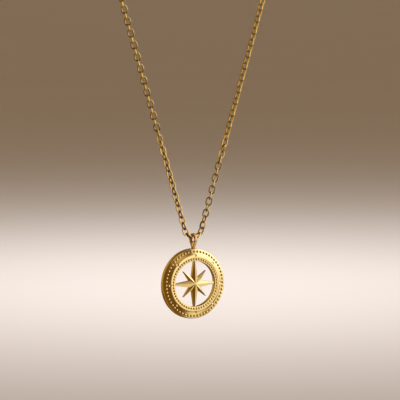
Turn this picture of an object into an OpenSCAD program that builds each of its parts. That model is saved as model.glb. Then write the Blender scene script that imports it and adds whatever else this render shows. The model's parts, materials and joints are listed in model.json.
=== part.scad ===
// Pierced round medallion with an eight-pointed compass star, on a fine cable-chain necklace.
// Millimetres. +Z is up, the medallion faces -Y, and the origin is where the loop hangs.

/* [Medallion] */
// Outer diameter of the round rim
medallion_d = 20; // [19.8:0.1:20.6]
// Thickness from the flat back to the inner edge of the sloping border
border_t = 2.15; // [2:0.05:2.4]
// How much the border falls from there to the rim's outer edge
border_fall = 0.5; // [0.3:0.05:0.7]
// How far the domed band's ridge stands in front of the border's inner edge
band_rise = 0.45; // [0.3:0.05:0.5]
// Diameter of the pierced opening round the star
opening_d = 13; // [12.9:0.1:13.2]
// Beads in the outer border
outer_beads = 56; // [48:1:58]
// Diameter of one outer bead
outer_bead_d = 0.8; // [0.7:0.02:0.9]
// Beads round the opening
inner_beads = 54; // [40:1:58]
// Diameter of one bead round the opening
inner_bead_d = 0.7; // [0.5:0.02:0.72]
// Diameter of the dimples in the band, one at each compass point
dimple_d = 0.9; // [0.6:0.05:1.1]

/* [Star] */
// Thickness of the star's straight edge
star_t = 0.9; // [0.7:0.05:1.1]
// How far the star's centre peak stands in front of its edge
peak_rise = 0.55; // [0.5:0.05:0.9]
// Length of the four diagonal rays, from the centre
short_ray = 5.2; // [4:0.05:5.6]
// Distance of the notches between rays, from the centre
notch_r = 2; // [1.6:0.1:2.4]
// Angle from a long ray to the notch beside it
notch_angle = 29; // [24:1:32]

/* [Bail] */
// Depth of the bail's loop, front to back
bail_d = 3.3; // [3.3:0.1:4.2]
// Height of the bail's eye above the rim
bail_lift = 2.7; // [2.5:0.1:3]
// Width of the bail's strip
bail_w = 0.85; // [0.7:0.05:1]
// Thickness of the bail's strip
bail_t = 0.45; // [0.4:0.01:0.48]

/* [Chain] */
// Length of the whole closed necklace, clasp included
necklace_l = 420; // [400:5:435]
// Outer length of one link
link_l = 2.68; // [2.66:0.02:3]
// Outer width of one link
link_w = 1.96; // [1.92:0.02:2]
// Width of the link's flattened wire, seen on the link's face
wire_w = 0.36; // [0.32:0.01:0.4]
// Thickness of the link's flattened wire
wire_t = 0.36; // [0.3:0.01:0.38]
// Share of each side's links that lie in the straight strand of the V
straight_share = 0.66; // [0.6:0.01:0.72]

/* [Clasp] */
// Outer diameter of the spring ring
clasp_d = 6.2; // [5.5:0.1:7]
// Diameter of the spring ring's tube
clasp_wire = 1; // [0.8:0.1:1.1]
// Outer diameter of the two jump rings
ring_d = 3.2; // [3.1:0.1:3.4]
// Wire diameter of the two jump rings
ring_wire = 0.5; // [0.45:0.05:0.55]

/* [Hidden] */
$fn = 48;
gold = "gold";
play = 0.22; // clearance between pieces that hang in each other

// Rim, from the opening outwards; heights are in front of the flat back
medallion_r = medallion_d / 2;
opening_r = opening_d / 2;
inner_row_r = opening_r + inner_bead_d / 2 + 0.2;
ridge_r = inner_row_r + inner_bead_d / 2 + 0.08;
ridge_t = border_t + band_rise;
lip_t = ridge_t - 0.12; // land that the inner beads stand on
outer_row_r = medallion_r - outer_bead_d / 2 - 0.4;
band_out = outer_row_r - outer_bead_d / 2 - 0.1;
bead_sink = 0.06; // how far a bead's centre lies below the land that it stands on
edge_bevel = 0.3;
border_out = medallion_r - edge_bevel / 2;
border_fall_at_row = border_fall * (outer_row_r - band_out) / (border_out - band_out);
back_bevel = 0.25;
opening_bevel = 0.6; // of the opening's back edge
opening_bevel_t = 1;
mid_t = 1.25; // the hinge line's height in front of the flat back, where the medallion balances

// Domed band: an arc that falls outwards from the ridge to the border, with its slope in degrees
band_slope = atan2(band_rise, band_out - ridge_r);
band_bow = 14; // the slope is this much less at the ridge and this much more at the border
band_curve_r = norm([band_rise, band_out - ridge_r]) / 2 / sin(band_bow);
band_centre = [
    ridge_r - band_curve_r * sin(band_slope - band_bow),
    ridge_t - band_curve_r * cos(band_slope - band_bow)
];
dimple_depth = 0.2;
dimple_cut_r = (dimple_d * dimple_d / 4 + dimple_depth * dimple_depth) / 2 / dimple_depth;
dimple_centre = band_centre
    + (band_curve_r + dimple_cut_r - dimple_depth) * [sin(band_slope), cos(band_slope)];

// Star; the long rays run on into the rim, where their edges meet
star_back_t = 1.25;
star_edge_t = star_back_t + star_t;
long_ray = opening_r + 1.5;
rays = 8;

// Bail, round the hinge line
bail_r = bail_d / 2;
bail_foot_r = 0.5;
bail_drop = bail_lift - 0.35;
disc_drop = medallion_r + bail_lift;

// One step along the chain goes from a link's middle to the next one's
hole_half = link_l / 2 - wire_w;
reach_on = hole_half + wire_w / 2;
reach_back = hole_half - wire_w / 2 - play;
pitch = reach_on + reach_back;

// Clasp, from the last link's bow on the right to the last one's on the left
ring_in = ring_d / 2 - ring_wire;
ring_mean = ring_in + ring_wire / 2;
ring_back = ring_in - wire_w / 2 - play;
clasp_in = clasp_d / 2 - clasp_wire;
eye_in = 0.6;
eye_wire = 0.6;
eye_centre = clasp_d / 2 + eye_in + eye_wire - 0.35;
clasp_back = clasp_in - ring_wire / 2 - play;
eye_reach = eye_centre + eye_in + eye_wire / 2;
eye_back = ring_in - eye_wire / 2 - play;
clasp_span = ring_back + ring_mean + clasp_back + eye_reach + eye_back + ring_back;

// Links on each side of the one in the bail; the number is even, so both ends lie flat for their rings
side_links = 2 * round((necklace_l - clasp_span - pitch) / pitch / 4);
straight_links = round(straight_share * side_links);
arc_links = side_links - straight_links;
near_rises = [0, 42, 62]; // of the link in the bail and the two next to it on each side
end_rise = 180;

// Slow twist of the chain. Columns: link counted from the bail, with the left side negative, and
// turn about the chain's own line in degrees
twist = [
    [-60, 180],
    [-40, 120],
    [-21, 120],
    [-15, 88],
    [0, 88],
    [7, 150],
    [13, 150],
    [19, 195],
    [38, 195],
    [60, 180]
];

function along(angle) = [cos(angle), sin(angle)];
function total(list) = [for (value = list) 1] * list;

// Rise of link k above level, where the straight stretch of a strand rises at an angle of rise
function heading(k, rise) =
    k < len(near_rises) ? near_rises[k]
    : k <= straight_links ? rise
    : rise + (end_rise - rise) * (k - straight_links) / arc_links;

// Distance from the middle of the link before to where the step to link k bends. Near the bail the
// even links lie in the plane of the bends, so the next link turns round the centre of their bow
function bend(k) = k % 2 == 1 ? (link_l - link_w) / 2 : reach_on;

// From the middle of the link before to the middle of link k; x is across and y is up
function step(k, rise) =
    bend(k) * along(heading(k - 1, rise)) + (pitch - bend(k)) * along(heading(k, rise));

function side_end(rise) =
    total([for (k = [1 : side_links]) step(k, rise)])[0] + reach_on * cos(heading(side_links, rise));

// Halves the range of rise until a side ends half a clasp from the middle
function closing_rise(low, high, halvings) =
    let (middle = (low + high) / 2)
    halvings == 0 ? middle
    : side_end(middle) > clasp_span / 2 ? closing_rise(middle, high, halvings - 1)
    : closing_rise(low, middle, halvings - 1);

strand_rise = closing_rise(60, 88, 40);
headings = [for (k = [0 : side_links]) heading(k, strand_rise)];

// Middles of the links of one side, from the one in the bail
middles = [
    for (k = 0, at = [0, 0]; k <= side_links;
        k = k + 1,
        at = k > side_links ? at : at + step(k, strand_rise)
    ) at
];
chain_top = middles[side_links][1];
hang_z = clasp_wire / 2; // the loop hangs on the underside of its clasp
bail_z = hang_z - chain_top;

// Stadium of the given length and width, along X
module stadium(length, width) {
    straight = length - width;
    square([straight, width], center = true);
    for (side = [-1, 1]) translate([side * straight / 2, 0]) circle(d = width);
}

module link() {
    linear_extrude(wire_t, center = true) difference() {
        stadium(link_l, link_w);
        stadium(link_l - 2 * wire_w, link_w - 2 * wire_w);
    }
}

// Link k of a side, where side is 1 on the right and -1 on the left
module placed_link(k, side) {
    turn = 90 * k + lookup(side * k, twist);
    translate([side * middles[k][0], 0, middles[k][1] + bail_z])
        rotate([0, -side * headings[k], 0])
        rotate([turn, 0, 0])
        link();
}

module chain() {
    color(gold) {
        placed_link(0, 1);
        for (side = [-1, 1], k = [1 : side_links]) placed_link(k, side);
    }
}

// Ring of round wire that lies flat
module ring(inner_r, wire) {
    rotate_extrude() translate([inner_r + wire / 2, 0]) circle(d = wire);
}

end_ring_x = clasp_span / 2 - ring_back;
clasp_x = end_ring_x - ring_mean - clasp_back;

module end_ring() {
    color(gold) translate([end_ring_x, 0, hang_z]) rotate([90, 0, 0]) ring(ring_in, ring_wire);
}

module clasp_ring() {
    color(gold) translate([-end_ring_x, 0, hang_z]) rotate([90, 0, 0]) ring(ring_in, ring_wire);
}

// Spring ring with the eye that its jump ring holds, and the knob that draws it open
module clasp() {
    knob_d = 0.8;
    knob_l = 0.7;
    knob_angle = 130;
    color(gold) translate([clasp_x, 0, hang_z]) {
        ring(clasp_in, clasp_wire);
        translate([-eye_centre, 0, 0]) ring(eye_in, eye_wire);
        rotate([0, 0, knob_angle])
            translate([clasp_d / 2 - 0.1, 0, 0])
            rotate([0, 90, 0])
            cylinder(d = knob_d, h = knob_l);
    }
}

// Section of the rim: x is the distance from the axis, y the height in front of the flat back
module rim_section() {
    polygon([
        [opening_r + opening_bevel, 0],
        [medallion_r - back_bevel, 0],
        [medallion_r, back_bevel],
        [medallion_r, border_t - border_fall - edge_bevel],
        [border_out, border_t - border_fall],
        [band_out, border_t],
        [ridge_r, border_t],
        [ridge_r, lip_t],
        [opening_r, lip_t],
        [opening_r, opening_bevel_t]
    ]);
    intersection() {
        translate(band_centre) circle(r = band_curve_r, $fn = 180);
        translate([ridge_r, 1]) square([band_out - ridge_r, ridge_t]);
    }
}

// Ring of balls round the axis, for the beads and for what cuts the dimples
module bead_row(count, row_r, bead_d, height) {
    for (i = [0 : count - 1])
        rotate([0, 0, 360 * i / count])
            translate([row_r, 0, height])
            sphere(d = bead_d);
}

module rim() {
    difference() {
        rotate_extrude() rim_section();
        bead_row(rays, dimple_centre[0], 2 * dimple_cut_r, dimple_centre[1]);
    }
    bead_row(outer_beads, outer_row_r, outer_bead_d, border_t - border_fall_at_row - bead_sink);
    bead_row(inner_beads, inner_row_r, inner_bead_d, lip_t - bead_sink);
}

// Star with a straight edge, a flat back and two sloping facets on each ray
module star() {
    long_step = 360 / rays * 2;
    outline = [
        for (i = [0 : rays / 2 - 1], corner = [
            [long_ray, 0],
            [notch_r, notch_angle],
            [short_ray, long_step / 2],
            [notch_r, long_step - notch_angle]
        ]) corner[0] * along(i * long_step + corner[1])
    ];
    count = len(outline);
    points = concat(
        [for (p = outline) [p[0], p[1], star_back_t]],
        [for (p = outline) [p[0], p[1], star_edge_t]],
        [[0, 0, star_back_t], [0, 0, star_edge_t + peak_rise]]
    );
    back_middle = 2 * count;
    peak = 2 * count + 1;
    faces = [
        for (i = [0 : count - 1]) let (next = (i + 1) % count) each [
            [i, next, back_middle],
            [i, count + i, count + next, next],
            [count + next, count + i, peak]
        ]
    ];
    polyhedron(points, faces);
}

// Two circles on one line and the straight sides that touch both
module pear(top_r, foot_r, drop) {
    slope = asin((top_r - foot_r) / drop);
    touch = [cos(slope), -sin(slope)];
    top = top_r * touch;
    foot = foot_r * touch - [0, drop];
    circle(r = top_r);
    translate([0, -drop]) circle(r = foot_r);
    polygon([top, foot, [-foot[0], foot[1]], [-top[0], top[1]]]);
}

// Strip bent to a pear-shaped eye round the X axis, its foot soldered to the rim
module bail() {
    rotate([90, 0, 90]) linear_extrude(bail_w, center = true) difference() {
        pear(bail_r, bail_foot_r, bail_drop);
        pear(bail_r - bail_t, 0.12, bail_drop);
    }
}

module medallion() {
    color(gold) translate([0, 0, bail_z]) {
        bail();
        translate([0, mid_t, -disc_drop]) rotate([90, 0, 0]) {
            rim();
            star();
        }
    }
}

medallion();
chain();
clasp();
clasp_ring();
end_ring();
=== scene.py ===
"""Looks of the star medallion necklace: pieces, gold finishes, light and camera, in metres."""
import json
import math

import bmesh
import bpy
import numpy as np
from mathutils import Matrix, Vector


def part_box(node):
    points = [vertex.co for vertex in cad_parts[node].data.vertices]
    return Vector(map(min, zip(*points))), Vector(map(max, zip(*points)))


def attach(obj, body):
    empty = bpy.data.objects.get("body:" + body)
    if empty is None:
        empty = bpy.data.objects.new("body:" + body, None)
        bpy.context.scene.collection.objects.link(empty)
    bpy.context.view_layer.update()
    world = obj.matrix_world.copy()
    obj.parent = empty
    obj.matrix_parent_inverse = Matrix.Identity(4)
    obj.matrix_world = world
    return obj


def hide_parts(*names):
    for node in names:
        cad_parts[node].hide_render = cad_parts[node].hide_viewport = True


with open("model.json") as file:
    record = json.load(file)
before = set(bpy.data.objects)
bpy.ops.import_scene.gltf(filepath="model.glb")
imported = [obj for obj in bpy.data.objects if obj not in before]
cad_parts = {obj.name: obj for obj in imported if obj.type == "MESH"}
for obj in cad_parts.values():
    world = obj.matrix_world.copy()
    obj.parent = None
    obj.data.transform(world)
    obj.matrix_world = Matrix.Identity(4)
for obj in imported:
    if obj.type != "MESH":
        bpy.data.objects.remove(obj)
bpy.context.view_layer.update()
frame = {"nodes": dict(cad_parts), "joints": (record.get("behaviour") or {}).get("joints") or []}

MM = 0.001
MERGE = 0.001 * MM  # points closer than this are one

# The medallion's own directions are x across, y up and z to the front, with its flat back at z = 0
medallion_low, medallion_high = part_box("medallion")
RIM_R = (medallion_high.x - medallion_low.x) / 2
BACK_Y = 1.25 * MM
CENTRE = Vector((0, 0, medallion_low.z + RIM_R))
FACE = Matrix.Translation((0, BACK_Y, CENTRE.z)) @ Matrix.Rotation(math.pi / 2, 4, "X")
HINGE = Vector(frame["joints"][0]["pos_m"])

# Rim: heights are in front of the flat back
OPENING_R = 6.5 * MM
OPENING_BEVEL = 0.6 * MM
OPENING_BEVEL_T = 1 * MM
BACK_BEVEL = 0.25 * MM
OUTER_BEVEL = 0.3 * MM
BORDER_T = 2.15 * MM
BORDER_FALL = 0.5 * MM
LIP_T = 2.48 * MM
RIDGE_R = 7.48 * MM
RIDGE_T = 2.6 * MM
BAND_OUT_R = 8.7 * MM
BAND_BOW = math.radians(14)
BAND_STEPS = 12
RIM_STEPS = 160
EDGE_ROUND = 0.07 * MM

# The domed band's arc, which falls outwards from the ridge, and the dimples in its middle
BAND_SLOPE = math.atan2(RIDGE_T - BORDER_T, BAND_OUT_R - RIDGE_R)
BAND_CURVE_R = math.hypot(RIDGE_T - BORDER_T, BAND_OUT_R - RIDGE_R) / 2 / math.sin(BAND_BOW)
BAND_CENTRE = (
    RIDGE_R - BAND_CURVE_R * math.sin(BAND_SLOPE - BAND_BOW),
    RIDGE_T - BAND_CURVE_R * math.cos(BAND_SLOPE - BAND_BOW),
)
DIMPLE_D = 0.9 * MM
DIMPLE_DEPTH = 0.2 * MM

# Rows of beads: how many, distance from the axis, bead radius and height of the bead's centre
OUTER_BEADS = (56, 9.2 * MM, 0.4 * MM, 1.87 * MM)
INNER_BEADS = (54, 7.05 * MM, 0.35 * MM, LIP_T - 0.06 * MM)
BEAD_SIDES = 14
BEAD_RINGS = 10

# Star
RAYS = 8
STAR_BACK_T = 1.25 * MM
STAR_EDGE_T = 2.15 * MM
PEAK_T = 2.7 * MM
LONG_RAY = 8 * MM
SHORT_RAY = 5.2 * MM
NOTCH_R = 2 * MM
NOTCH_ANGLE = 29
STAR_ROUND = 0.035 * MM

# Bail, round the hinge line
BAIL_R = 1.65 * MM
BAIL_FOOT_R = 0.5 * MM
EYE_FOOT_R = 0.12 * MM
BAIL_DROP = 2.35 * MM
BAIL_T = 0.45 * MM
BAIL_W = 0.85 * MM
BAIL_ROUND = 0.13 * MM
BAIL_STEPS = 28

# Links: their outer size, as in the frame, and their flattened wire, which is a little stouter
# than the frame's
LINK_L = 2.68 * MM
LINK_W = 1.96 * MM
WIRE_W = 0.42 * MM
WIRE_T = 0.4 * MM
WIRE_FLAT = 0.58 * WIRE_W  # flat stretch in the middle of the wire's face
LINK_STEPS = 16


def finished(name, bm, body, finish, nodes):
    """Makes an object of the bmesh that rides on its body and stands for its nodes."""
    mesh = bpy.data.meshes.new(name)
    bm.to_mesh(mesh)
    bm.free()
    piece = bpy.data.objects.new(name, mesh)
    bpy.context.scene.collection.objects.link(piece)
    mesh.materials.append(finish)
    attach(piece, body)
    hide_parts(*nodes)
    return piece


def shade(bm, sharp_angle):
    """Shades the faces smooth, and keeps each edge crisp that turns by more than the angle."""
    for face in bm.faces:
        face.smooth = True
    for edge in bm.edges:
        edge.smooth = len(edge.link_faces) == 2 and edge.calc_face_angle() < sharp_angle


def round_edges(bm, least_angle, width, segments):
    """Rounds each edge that turns by more than the angle."""
    edges = [e for e in bm.edges if len(e.link_faces) == 2 and e.calc_face_angle() > least_angle]
    bmesh.ops.bevel(
        bm, geom=edges, offset=width, offset_type="OFFSET", affect="EDGES", segments=segments,
        profile=0.5, material=-1, clamp_overlap=True,
    )


def weigh_normals(piece):
    """Lets wide faces set the shading, so that a rounded edge doesn't tint the flats beside it."""
    modifier = piece.modifiers.new("weighted", "WEIGHTED_NORMAL")
    modifier.keep_sharp = True


def band_point(slope):
    """Distance from the axis and height of the point where the band's arc has this slope."""
    return (
        BAND_CENTRE[0] + BAND_CURVE_R * math.sin(slope),
        BAND_CENTRE[1] + BAND_CURVE_R * math.cos(slope),
    )


def rim_section():
    """Points of the rim's section, from the opening's back edge round by the front to the back."""
    slopes = np.linspace(BAND_SLOPE - BAND_BOW, BAND_SLOPE + BAND_BOW, BAND_STEPS)
    return [
        (OPENING_R + OPENING_BEVEL, 0),
        (OPENING_R, OPENING_BEVEL_T),
        (OPENING_R, LIP_T),
        (RIDGE_R, LIP_T),
        *[band_point(slope) for slope in slopes],
        (RIM_R - OUTER_BEVEL / 2, BORDER_T - BORDER_FALL),
        (RIM_R, BORDER_T - BORDER_FALL - OUTER_BEVEL),
        (RIM_R, BACK_BEVEL),
        (RIM_R - BACK_BEVEL, 0),
    ]


def cut(bm, cutter):
    """Takes the cutter's shape out of the bmesh."""
    scratch = []
    for shape in (bm, cutter):
        mesh = bpy.data.meshes.new("uncut")
        shape.to_mesh(mesh)
        shape.free()
        scratch.append(bpy.data.objects.new("uncut", mesh))
        bpy.context.scene.collection.objects.link(scratch[-1])
    modifier = scratch[0].modifiers.new("cut", "BOOLEAN")
    modifier.operation = "DIFFERENCE"
    modifier.solver = "EXACT"
    modifier.object = scratch[1]
    result = bmesh.new()
    result.from_object(scratch[0], bpy.context.evaluated_depsgraph_get())
    bmesh.ops.dissolve_degenerate(result, dist=MERGE / 5, edges=result.edges)
    for piece in scratch:
        mesh = piece.data
        bpy.data.objects.remove(piece)
        bpy.data.meshes.remove(mesh)
    return result


def ring_of_balls(row, segments, rings):
    """Balls spaced evenly round the axis."""
    count, row_r, ball_r, height = row
    bm = bmesh.new()
    for i in range(count):
        turn = Matrix.Rotation(math.tau * i / count, 4, "Z")
        bmesh.ops.create_uvsphere(
            bm, u_segments=segments, v_segments=rings, radius=ball_r,
            matrix=turn @ Matrix.Translation((row_r, 0, height)),
        )
    return bm


def dimple_balls():
    """Balls that stand in the band where the dimples are cut."""
    half = DIMPLE_D / 2
    ball_r = (half ** 2 + DIMPLE_DEPTH ** 2) / 2 / DIMPLE_DEPTH
    r, height = band_point(BAND_SLOPE)
    lift = ball_r - DIMPLE_DEPTH
    row = (RAYS, r + lift * math.sin(BAND_SLOPE), ball_r, height + lift * math.cos(BAND_SLOPE))
    return ring_of_balls(row, segments=40, rings=24)


def make_rim(finish):
    """Border, domed band with its dimples, and the step round the opening, as one piece."""
    bm = bmesh.new()
    ring = [bm.verts.new((r, 0, t)) for r, t in rim_section()]
    edges = [bm.edges.new((a, b)) for a, b in zip(ring, ring[1:] + ring[:1])]
    bmesh.ops.spin(
        bm, geom=ring + edges, cent=(0, 0, 0), axis=(0, 0, 1), angle=math.tau, steps=RIM_STEPS,
        use_merge=True,
    )
    bmesh.ops.remove_doubles(bm, verts=bm.verts, dist=MERGE)
    bmesh.ops.recalc_face_normals(bm, faces=bm.faces)
    round_edges(bm, least_angle=math.radians(24), width=EDGE_ROUND, segments=2)
    bm = cut(bm, dimple_balls())
    shade(bm, sharp_angle=math.radians(30))
    bm.transform(FACE)
    rim = finished("medallion_rim", bm, "pendant", finish, ["medallion"])
    weigh_normals(rim)


def make_beads(name, row, finish):
    bm = ring_of_balls(row, BEAD_SIDES, BEAD_RINGS)
    shade(bm, sharp_angle=math.pi)
    bm.transform(FACE)
    finished(name, bm, "pendant", finish, ["medallion"])


def make_star(finish):
    """Star plate whose front rises to a peak, with two facets on each ray."""
    long_step = math.tau / RAYS * 2
    notch = math.radians(NOTCH_ANGLE)
    corners = []
    for i in range(RAYS // 2):
        turn = i * long_step
        corners += [
            (LONG_RAY, turn),
            (NOTCH_R, turn + notch),
            (SHORT_RAY, turn + long_step / 2),
            (NOTCH_R, turn + long_step - notch),
        ]
    bm = bmesh.new()
    outline = [bm.verts.new((r * math.cos(a), r * math.sin(a), STAR_BACK_T)) for r, a in corners]
    back = bm.faces.new(outline)
    front = bmesh.ops.extrude_face_region(bm, geom=[back])["geom"]
    front_face = next(g for g in front if isinstance(g, bmesh.types.BMFace))
    bmesh.ops.translate(bm, verts=front_face.verts, vec=(0, 0, STAR_EDGE_T - STAR_BACK_T))
    peak = bmesh.ops.poke(bm, faces=[front_face])["verts"]
    bmesh.ops.translate(bm, verts=peak, vec=(0, 0, PEAK_T - STAR_EDGE_T))
    bmesh.ops.recalc_face_normals(bm, faces=bm.faces)
    round_edges(bm, least_angle=math.radians(20), width=STAR_ROUND, segments=2)
    shade(bm, sharp_angle=math.radians(50))
    bm.transform(FACE)
    star = finished("medallion_star", bm, "pendant", finish, ["medallion"])
    weigh_normals(star)


def pear(top_r, foot_r, drop, steps):
    """Points of a closed pear outline round the origin, with its foot below it."""
    slope = math.asin((top_r - foot_r) / drop)
    top = np.linspace(-slope, math.pi + slope, steps)
    foot = np.linspace(math.pi + slope, math.tau - slope, steps // 2)
    return [(top_r * math.cos(a), top_r * math.sin(a)) for a in top] + [
        (foot_r * math.cos(a), foot_r * math.sin(a) - drop) for a in foot
    ]


def make_bail(finish):
    """Strip bent to a pear-shaped eye."""
    bm = bmesh.new()
    loops = []
    for top_r, foot_r in ((BAIL_R, BAIL_FOOT_R), (BAIL_R - BAIL_T, EYE_FOOT_R)):
        verts = [bm.verts.new((0, y, z)) for y, z in pear(top_r, foot_r, BAIL_DROP, BAIL_STEPS)]
        loops += [bm.edges.new((a, b)) for a, b in zip(verts, verts[1:] + verts[:1])]
    bmesh.ops.bridge_loops(bm, edges=loops)
    side = bmesh.ops.extrude_face_region(bm, geom=bm.faces[:])["geom"]
    verts = [g for g in side if isinstance(g, bmesh.types.BMVert)]
    bmesh.ops.translate(bm, verts=verts, vec=(BAIL_W, 0, 0))
    bmesh.ops.translate(bm, verts=bm.verts, vec=HINGE - Vector((BAIL_W / 2, 0, 0)))
    bmesh.ops.recalc_face_normals(bm, faces=bm.faces)
    round_edges(bm, least_angle=math.radians(60), width=BAIL_ROUND, segments=3)
    shade(bm, sharp_angle=math.radians(60))
    bail = finished("medallion_bail", bm, "pendant", finish, ["medallion"])
    weigh_normals(bail)


def link_places(node):
    """Place of each of the chain's solids: x along the link and z straight out of its face.

    The areas of a link's faces tell its directions: most of the area faces its front and back, and
    the least faces its two ends.
    """
    bm = bmesh.new()
    bm.from_mesh(node.data)
    bmesh.ops.remove_doubles(bm, verts=bm.verts, dist=MERGE)
    places, seen = [], set()
    for start in bm.verts:
        if start in seen:
            continue
        seen.add(start)
        island, faces = [start], set()
        for vert in island:
            faces.update(vert.link_faces)
            near = {edge.other_vert(vert) for edge in vert.link_edges} - seen
            seen |= near
            island += near
        areas = np.array([face.calc_area() for face in faces])
        normals = np.array([face.normal for face in faces])
        middles = np.array([face.calc_center_median() for face in faces])
        middle = areas @ middles / areas.sum()
        _, directions = np.linalg.eigh((normals.T * areas) @ normals)
        along, across = directions.T[:2]
        out = np.cross(along, across)
        columns = [(*axis, 0) for axis in (along, across, out)] + [(*middle, 1)]
        places.append(Matrix(columns).transposed())
    bm.free()
    return places


def make_link():
    """One oval link of flattened wire round the origin, flat in x and y."""
    bm = bmesh.new()
    middle_r = (LINK_W - WIRE_W) / 2
    flat = WIRE_FLAT / 2
    section = [
        (-flat, -WIRE_T / 2), (flat, -WIRE_T / 2), (WIRE_W / 2, 0),
        (flat, WIRE_T / 2), (-flat, WIRE_T / 2), (-WIRE_W / 2, 0),
    ]
    verts = [bm.verts.new((middle_r + r, 0, t)) for r, t in section]
    edges = [bm.edges.new((a, b)) for a, b in zip(verts, verts[1:] + verts[:1])]
    half_step = Matrix.Rotation(math.pi / LINK_STEPS, 3, "Z")
    bmesh.ops.rotate(bm, verts=verts, cent=(0, 0, 0), matrix=half_step)
    bmesh.ops.spin(
        bm, geom=verts + edges, cent=(0, 0, 0), axis=(0, 0, 1), angle=math.tau, steps=LINK_STEPS,
        use_merge=True,
    )
    bmesh.ops.remove_doubles(bm, verts=bm.verts, dist=MERGE)
    stretch = (LINK_L - LINK_W) / 2
    for side in (-1, 1):
        half = [v for v in bm.verts if v.co.x * side > 0]
        bmesh.ops.translate(bm, verts=half, vec=(side * stretch, 0, 0))
    bmesh.ops.recalc_face_normals(bm, faces=bm.faces)
    shade(bm, sharp_angle=math.radians(45))
    return bm


def make_chain(places, finish):
    """The two strands, with a link at each place."""
    link = bpy.data.meshes.new("link")
    shape = make_link()
    shape.to_mesh(link)
    shape.free()
    sides = {"chain_left": lambda x: x < 0, "chain_right": lambda x: x >= 0}
    for name, here in sides.items():
        bm = bmesh.new()
        for place in places:
            if here(place.translation.x):
                known = len(bm.verts)
                bm.from_mesh(link)
                bm.verts.ensure_lookup_table()
                bmesh.ops.transform(bm, matrix=place, verts=bm.verts[known:])
        finished(name, bm, "necklace", finish, ["chain"])
    bpy.data.meshes.remove(link)


class Value:
    """A number that varies over a surface. Arithmetic on it adds Math nodes."""

    def __init__(self, nodes, socket):
        self.nodes = nodes
        self.socket = socket

    def math(self, operation, first, second):
        return self.nodes.value("Math", {"operation": operation}, {0: first, 1: second})

    def __add__(self, other):
        return self.math("ADD", self, other)

    def __sub__(self, other):
        return self.math("SUBTRACT", self, other)

    def __rsub__(self, other):
        return self.math("SUBTRACT", other, self)

    def __mul__(self, other):
        return self.math("MULTIPLY", self, other)

    __radd__ = __add__
    __rmul__ = __mul__

    def ramp(self, low, high):
        """0 below low, 1 above high and a smooth way between."""
        return self.nodes.value(
            "MapRange", {"interpolation_type": "SMOOTHSTEP"},
            {"Value": self, "From Min": low, "From Max": high},
            output="Result",
        )


class Nodes:
    """The nodes of a material or world, with one method that adds any of them."""

    def __init__(self, tree):
        self.tree = tree

    def add(self, kind, settings=None, inputs=None):
        """Adds a node. Settings come first, then each input's value or link, by name or number."""
        node = self.tree.nodes.new("ShaderNode" + kind)
        for key, value in (settings or {}).items():
            setattr(node, key, value)
        for key, value in (inputs or {}).items():
            self.plug(node.inputs[key], value)
        return node

    def plug(self, socket, value):
        if isinstance(value, Value):
            value = value.socket
        if isinstance(value, bpy.types.NodeSocket):
            self.tree.links.new(value, socket)
        else:
            socket.default_value = value

    def value(self, *args, output=0):
        """Adds a node and gives its output as a value."""
        return Value(self, self.add(*args).outputs[output])

    def colours(self, mask, first, second):
        """Mix of two colours, where a mask of 1 gives the second."""
        node = self.add("Mix", {"data_type": "RGBA"})
        for number, value in ((0, mask), (6, first), (7, second)):
            self.plug(node.inputs[number], value)
        return node.outputs[2]


# Polish: how many smudges, waves and fine marks to the metre, the depth of the marks and waves,
# the shine that a smudge leaves and the roughness that the marks add
SMUDGES = 420.0
WAVES = 900.0
MARKS = 5200.0
MARK_DEPTH = 0.0008 * MM
WAVE_DEPTH = 6 * MARK_DEPTH
LEAST_SHINE = 0.7
MARK_ROUGHNESS = 0.04


def gold(name, centre, shade_and_smudge, bright, recess, smudge):
    """Polished gold with faint smudges, fine polishing marks and painted shade in the recesses.

    recess is how far the painted shade reaches from a recess, in metres, and smudge the least
    and greatest roughness.
    """
    material = bpy.data.materials.new(name)
    material.use_nodes = True
    nodes = Nodes(material.node_tree)
    shader = nodes.tree.nodes["Principled BSDF"]
    shader.inputs["Metallic"].default_value = 1
    place = nodes.add("TexCoord").outputs["Object"]
    centred = {"Vector": place, "Location": [-c for c in centre]}
    place = nodes.add("Mapping", None, centred).outputs[0]
    cloud = nodes.value("TexNoise", None, {"Vector": place, "Scale": SMUDGES, "Detail": 3.0})
    marks = nodes.value("TexNoise", None, {"Vector": place, "Scale": MARKS, "Detail": 2.0})
    waves = nodes.value("TexNoise", None, {"Vector": place, "Scale": WAVES, "Detail": 1.0})
    # Painted shade: the colour darkens where ambient occlusion finds a recess close by
    open_sky = nodes.value("AmbientOcclusion", {"samples": 8}, {"Distance": recess}, output="AO")
    clean = cloud.ramp(0.3, 0.7) * (1 - LEAST_SHINE) + LEAST_SHINE
    unshaded_and_clean = open_sky.ramp(0.3, 0.95) * clean
    nodes.plug(shader.inputs["Base Color"], nodes.colours(unshaded_and_clean, shade_and_smudge, bright))
    low, high = smudge
    smudged = cloud.ramp(0.35, 0.75)
    roughness = smudged * high + (1 - smudged) * low + marks * MARK_ROUGHNESS
    nodes.plug(shader.inputs["Roughness"], roughness)
    height = waves * WAVE_DEPTH + marks * MARK_DEPTH
    bump = nodes.add("Bump", None, {"Height": height, "Distance": 1.0, "Strength": 1.0})
    nodes.plug(shader.inputs["Normal"], bump.outputs[0])
    return material


# The floor's own colour and how far it varies, and the even light on it from all round
PLASTER = (0.82, 0.756, 0.711)
PLASTER_VARIES = 0.007
EVEN_LIGHT = (0.23, 0.157, 0.083)


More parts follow.
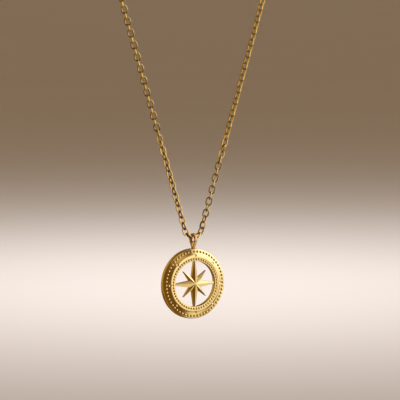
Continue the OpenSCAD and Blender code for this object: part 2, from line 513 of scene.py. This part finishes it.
def floor_finish():
    """Plain pale plaster."""
    material = bpy.data.materials.new("pale_floor")
    material.use_nodes = True
    nodes = Nodes(material.node_tree)
    shader = nodes.tree.nodes["Principled BSDF"]
    shader.inputs["Roughness"].default_value = 0.9
    place = nodes.add("TexCoord").outputs["Object"]
    cloud = nodes.value("TexNoise", None, {"Vector": place, "Scale": 6.0, "Detail": 4.0})
    darker, paler = (
        (*(part * share for part in PLASTER), 1)
        for share in (1 - PLASTER_VARIES, 1 + PLASTER_VARIES)
    )
    tone = nodes.colours(cloud.ramp(0.3, 0.7), darker, paler)
    nodes.plug(shader.inputs["Base Color"], tone)
    return material


# The floor lies this far under the medallion and reaches this far each way
FLOOR_GAP = 0.035
FLOOR_HALF = 8


def make_floor():
    bm = bmesh.new()
    place = Matrix.Translation((0, 0, medallion_low.z - FLOOR_GAP))
    bmesh.ops.create_grid(bm, x_segments=8, y_segments=8, size=FLOOR_HALF, matrix=place)
    mesh = bpy.data.meshes.new("floor")
    bm.to_mesh(mesh)
    bm.free()
    floor = bpy.data.objects.new("floor", mesh)
    bpy.context.scene.collection.objects.link(floor)
    mesh.materials.append(floor_finish())
    floor.visible_glossy = False


# The room that the gold reflects: a dark brown one with soft lights. Each light has its bearing,
# where 0 is right and -90 the front, its height, the angles from its middle where it is full and
# gone, all in degrees, and its colour
ROOM = (0.16, 0.09, 0.02)
ROOM_LIGHTS = (
    (0, 36, 15, 47, (1.5, 1.62, 2)),
    (-60, 2, 22, 39, (1.1, 1.1, 1.15)),
    (-42, 30, 10, 19, (0.4, 0.4, 0.42)),
    (-39, -48, 8, 21, (0.8, 0.78, 0.72)),
    (-10, 5, 12, 36, (0.4, 0.42, 0.48)),
    (5, -25, 8, 28, (0.75, 0.72, 0.66)),
    (115, 15, 10, 40, (0.32, 0.24, 0.12)),
    (-98, 48, 6, 22, (0.5, 0.42, 0.28)),
    (170, -45, 10, 60, (0.18, 0.11, 0.04)),
)


def make_world():
    """Even light on what is matt, the room in what is glossy, and the far floor's tone behind."""
    world = bpy.data.worlds.new("studio")
    bpy.context.scene.world = world
    world.use_nodes = True
    nodes = Nodes(world.node_tree)
    direction = nodes.add("TexCoord").outputs["Generated"]
    path = nodes.add("LightPath").outputs
    room = ROOM
    for bearing, height, full, gone, colour in ROOM_LIGHTS:
        sideways = Matrix.Rotation(math.radians(bearing), 3, "Z")
        towards = sideways @ Matrix.Rotation(-math.radians(height), 3, "Y") @ Vector((1, 0, 0))
        nearness = nodes.value(
            "VectorMath", {"operation": "DOT_PRODUCT"}, {0: direction, 1: towards},
            output="Value",
        )
        mask = nearness.ramp(math.cos(math.radians(gone)), math.cos(math.radians(full)))
        room = nodes.add(
            "VectorMath", {"operation": "MULTIPLY_ADD"}, {0: mask, 1: colour, 2: room},
        ).outputs[0]
    lit = nodes.colours(path["Is Glossy Ray"], (*EVEN_LIGHT, 1), room)
    far_floor = (*(light * part for light, part in zip(EVEN_LIGHT, PLASTER)), 1)
    seen = nodes.colours(path["Is Camera Ray"], lit, far_floor)
    nodes.plug(nodes.tree.nodes["Background"].inputs["Color"], seen)


# Soft light that shines straight down on the floor behind the medallion
KEY_PLACE = (0.19, 0.33, 0.13)
KEY_SIZE = 0.3
KEY_POWER = 1.65
KEY_COLOUR = (0.92, 0.95, 1)


def make_key():
    data = bpy.data.lights.new("key", "AREA")
    data.shape = "DISK"
    data.size = KEY_SIZE
    data.energy = KEY_POWER
    data.color = KEY_COLOUR
    light = bpy.data.objects.new("key", data)
    light.location = KEY_PLACE
    light.visible_camera = False
    light.visible_glossy = False
    bpy.context.scene.collection.objects.link(light)


# Camera: the photograph's angle, the real size of one of its pixels at the medallion, and where
# its picture holds the medallion's middle
AZIMUTH = math.radians(-30)
ELEVATION = math.radians(5)
DISTANCE = 0.9
SENSOR = 36
PICTURE_PX = 400
PX = 20 * MM / 70.4  # the medallion is 70.4 pixels high
MIDDLE_PX = (193.25, 283.5)


def make_camera():
    data = bpy.data.cameras.new("camera")
    data.sensor_width = SENSOR
    data.lens = SENSOR * DISTANCE / (PICTURE_PX * PX)
    data.clip_start = 0.05
    data.clip_end = 50
    camera = bpy.data.objects.new("camera", data)
    bpy.context.scene.collection.objects.link(camera)
    back = Vector((
        math.sin(AZIMUTH) * math.cos(ELEVATION),
        -math.cos(AZIMUTH) * math.cos(ELEVATION),
        math.sin(ELEVATION),
    ))
    right = Vector((math.cos(AZIMUTH), math.sin(AZIMUTH), 0))
    up = back.cross(right)
    half = PICTURE_PX / 2
    aim = CENTRE + right * (half - MIDDLE_PX[0]) * PX + up * (MIDDLE_PX[1] - half) * PX
    camera.location = aim + back * DISTANCE
    camera.rotation_euler = back.to_track_quat("Z", "Y").to_euler()
    bpy.context.scene.camera = camera


make_camera()
make_floor()
make_world()
make_key()
bpy.context.scene.view_settings.view_transform = "Standard"

# Golds: the painted shade in the recesses, which smudges lean towards a little, and the gold
# elsewhere
SHADE_AND_SMUDGE_GOLD = (0.6, 0.4, 0.12, 1)
BRIGHT = (0.93, 0.72, 0.31, 1)
CHAIN_SHADE_AND_SMUDGE_GOLD = (0.17, 0.08, 0.02, 1)
# Painted shade: the chain, clasp and bail have the medallion's gold made darker
CHAIN_GOLD_PAINTED_DARKER = (0.8, 0.56, 0.15, 1)
BAIL_GOLD_PAINTED_DARKER = (0.7, 0.43, 0.15, 1)
medallion_finish = gold(
    "medallion_gold", CENTRE, SHADE_AND_SMUDGE_GOLD, BRIGHT, recess=0.4 * MM, smudge=(0.1, 0.2)
)
bail_finish = gold(
    "bail_gold", HINGE, CHAIN_SHADE_AND_SMUDGE_GOLD, BAIL_GOLD_PAINTED_DARKER, recess=0.6 * MM, smudge=(0.1, 0.2)
)
chain_finish = gold(
    "chain_gold", HINGE, CHAIN_SHADE_AND_SMUDGE_GOLD, CHAIN_GOLD_PAINTED_DARKER, recess=0.9 * MM, smudge=(0.06, 0.15)
)
clasp_finish = gold(
    "clasp_gold", (0, 0, 0), CHAIN_SHADE_AND_SMUDGE_GOLD, CHAIN_GOLD_PAINTED_DARKER, recess=0.6 * MM, smudge=(0.1, 0.2)
)

make_rim(medallion_finish)
make_beads("medallion_outer_beads", OUTER_BEADS, medallion_finish)
make_beads("medallion_inner_beads", INNER_BEADS, medallion_finish)
make_star(medallion_finish)
make_bail(bail_finish)
make_chain(link_places(frame["nodes"]["chain"]), chain_finish)
for node in ("clasp", "clasp_ring", "end_ring"):
    slots = frame["nodes"][node].data.materials
    slots.clear()
    slots.append(clasp_finish)
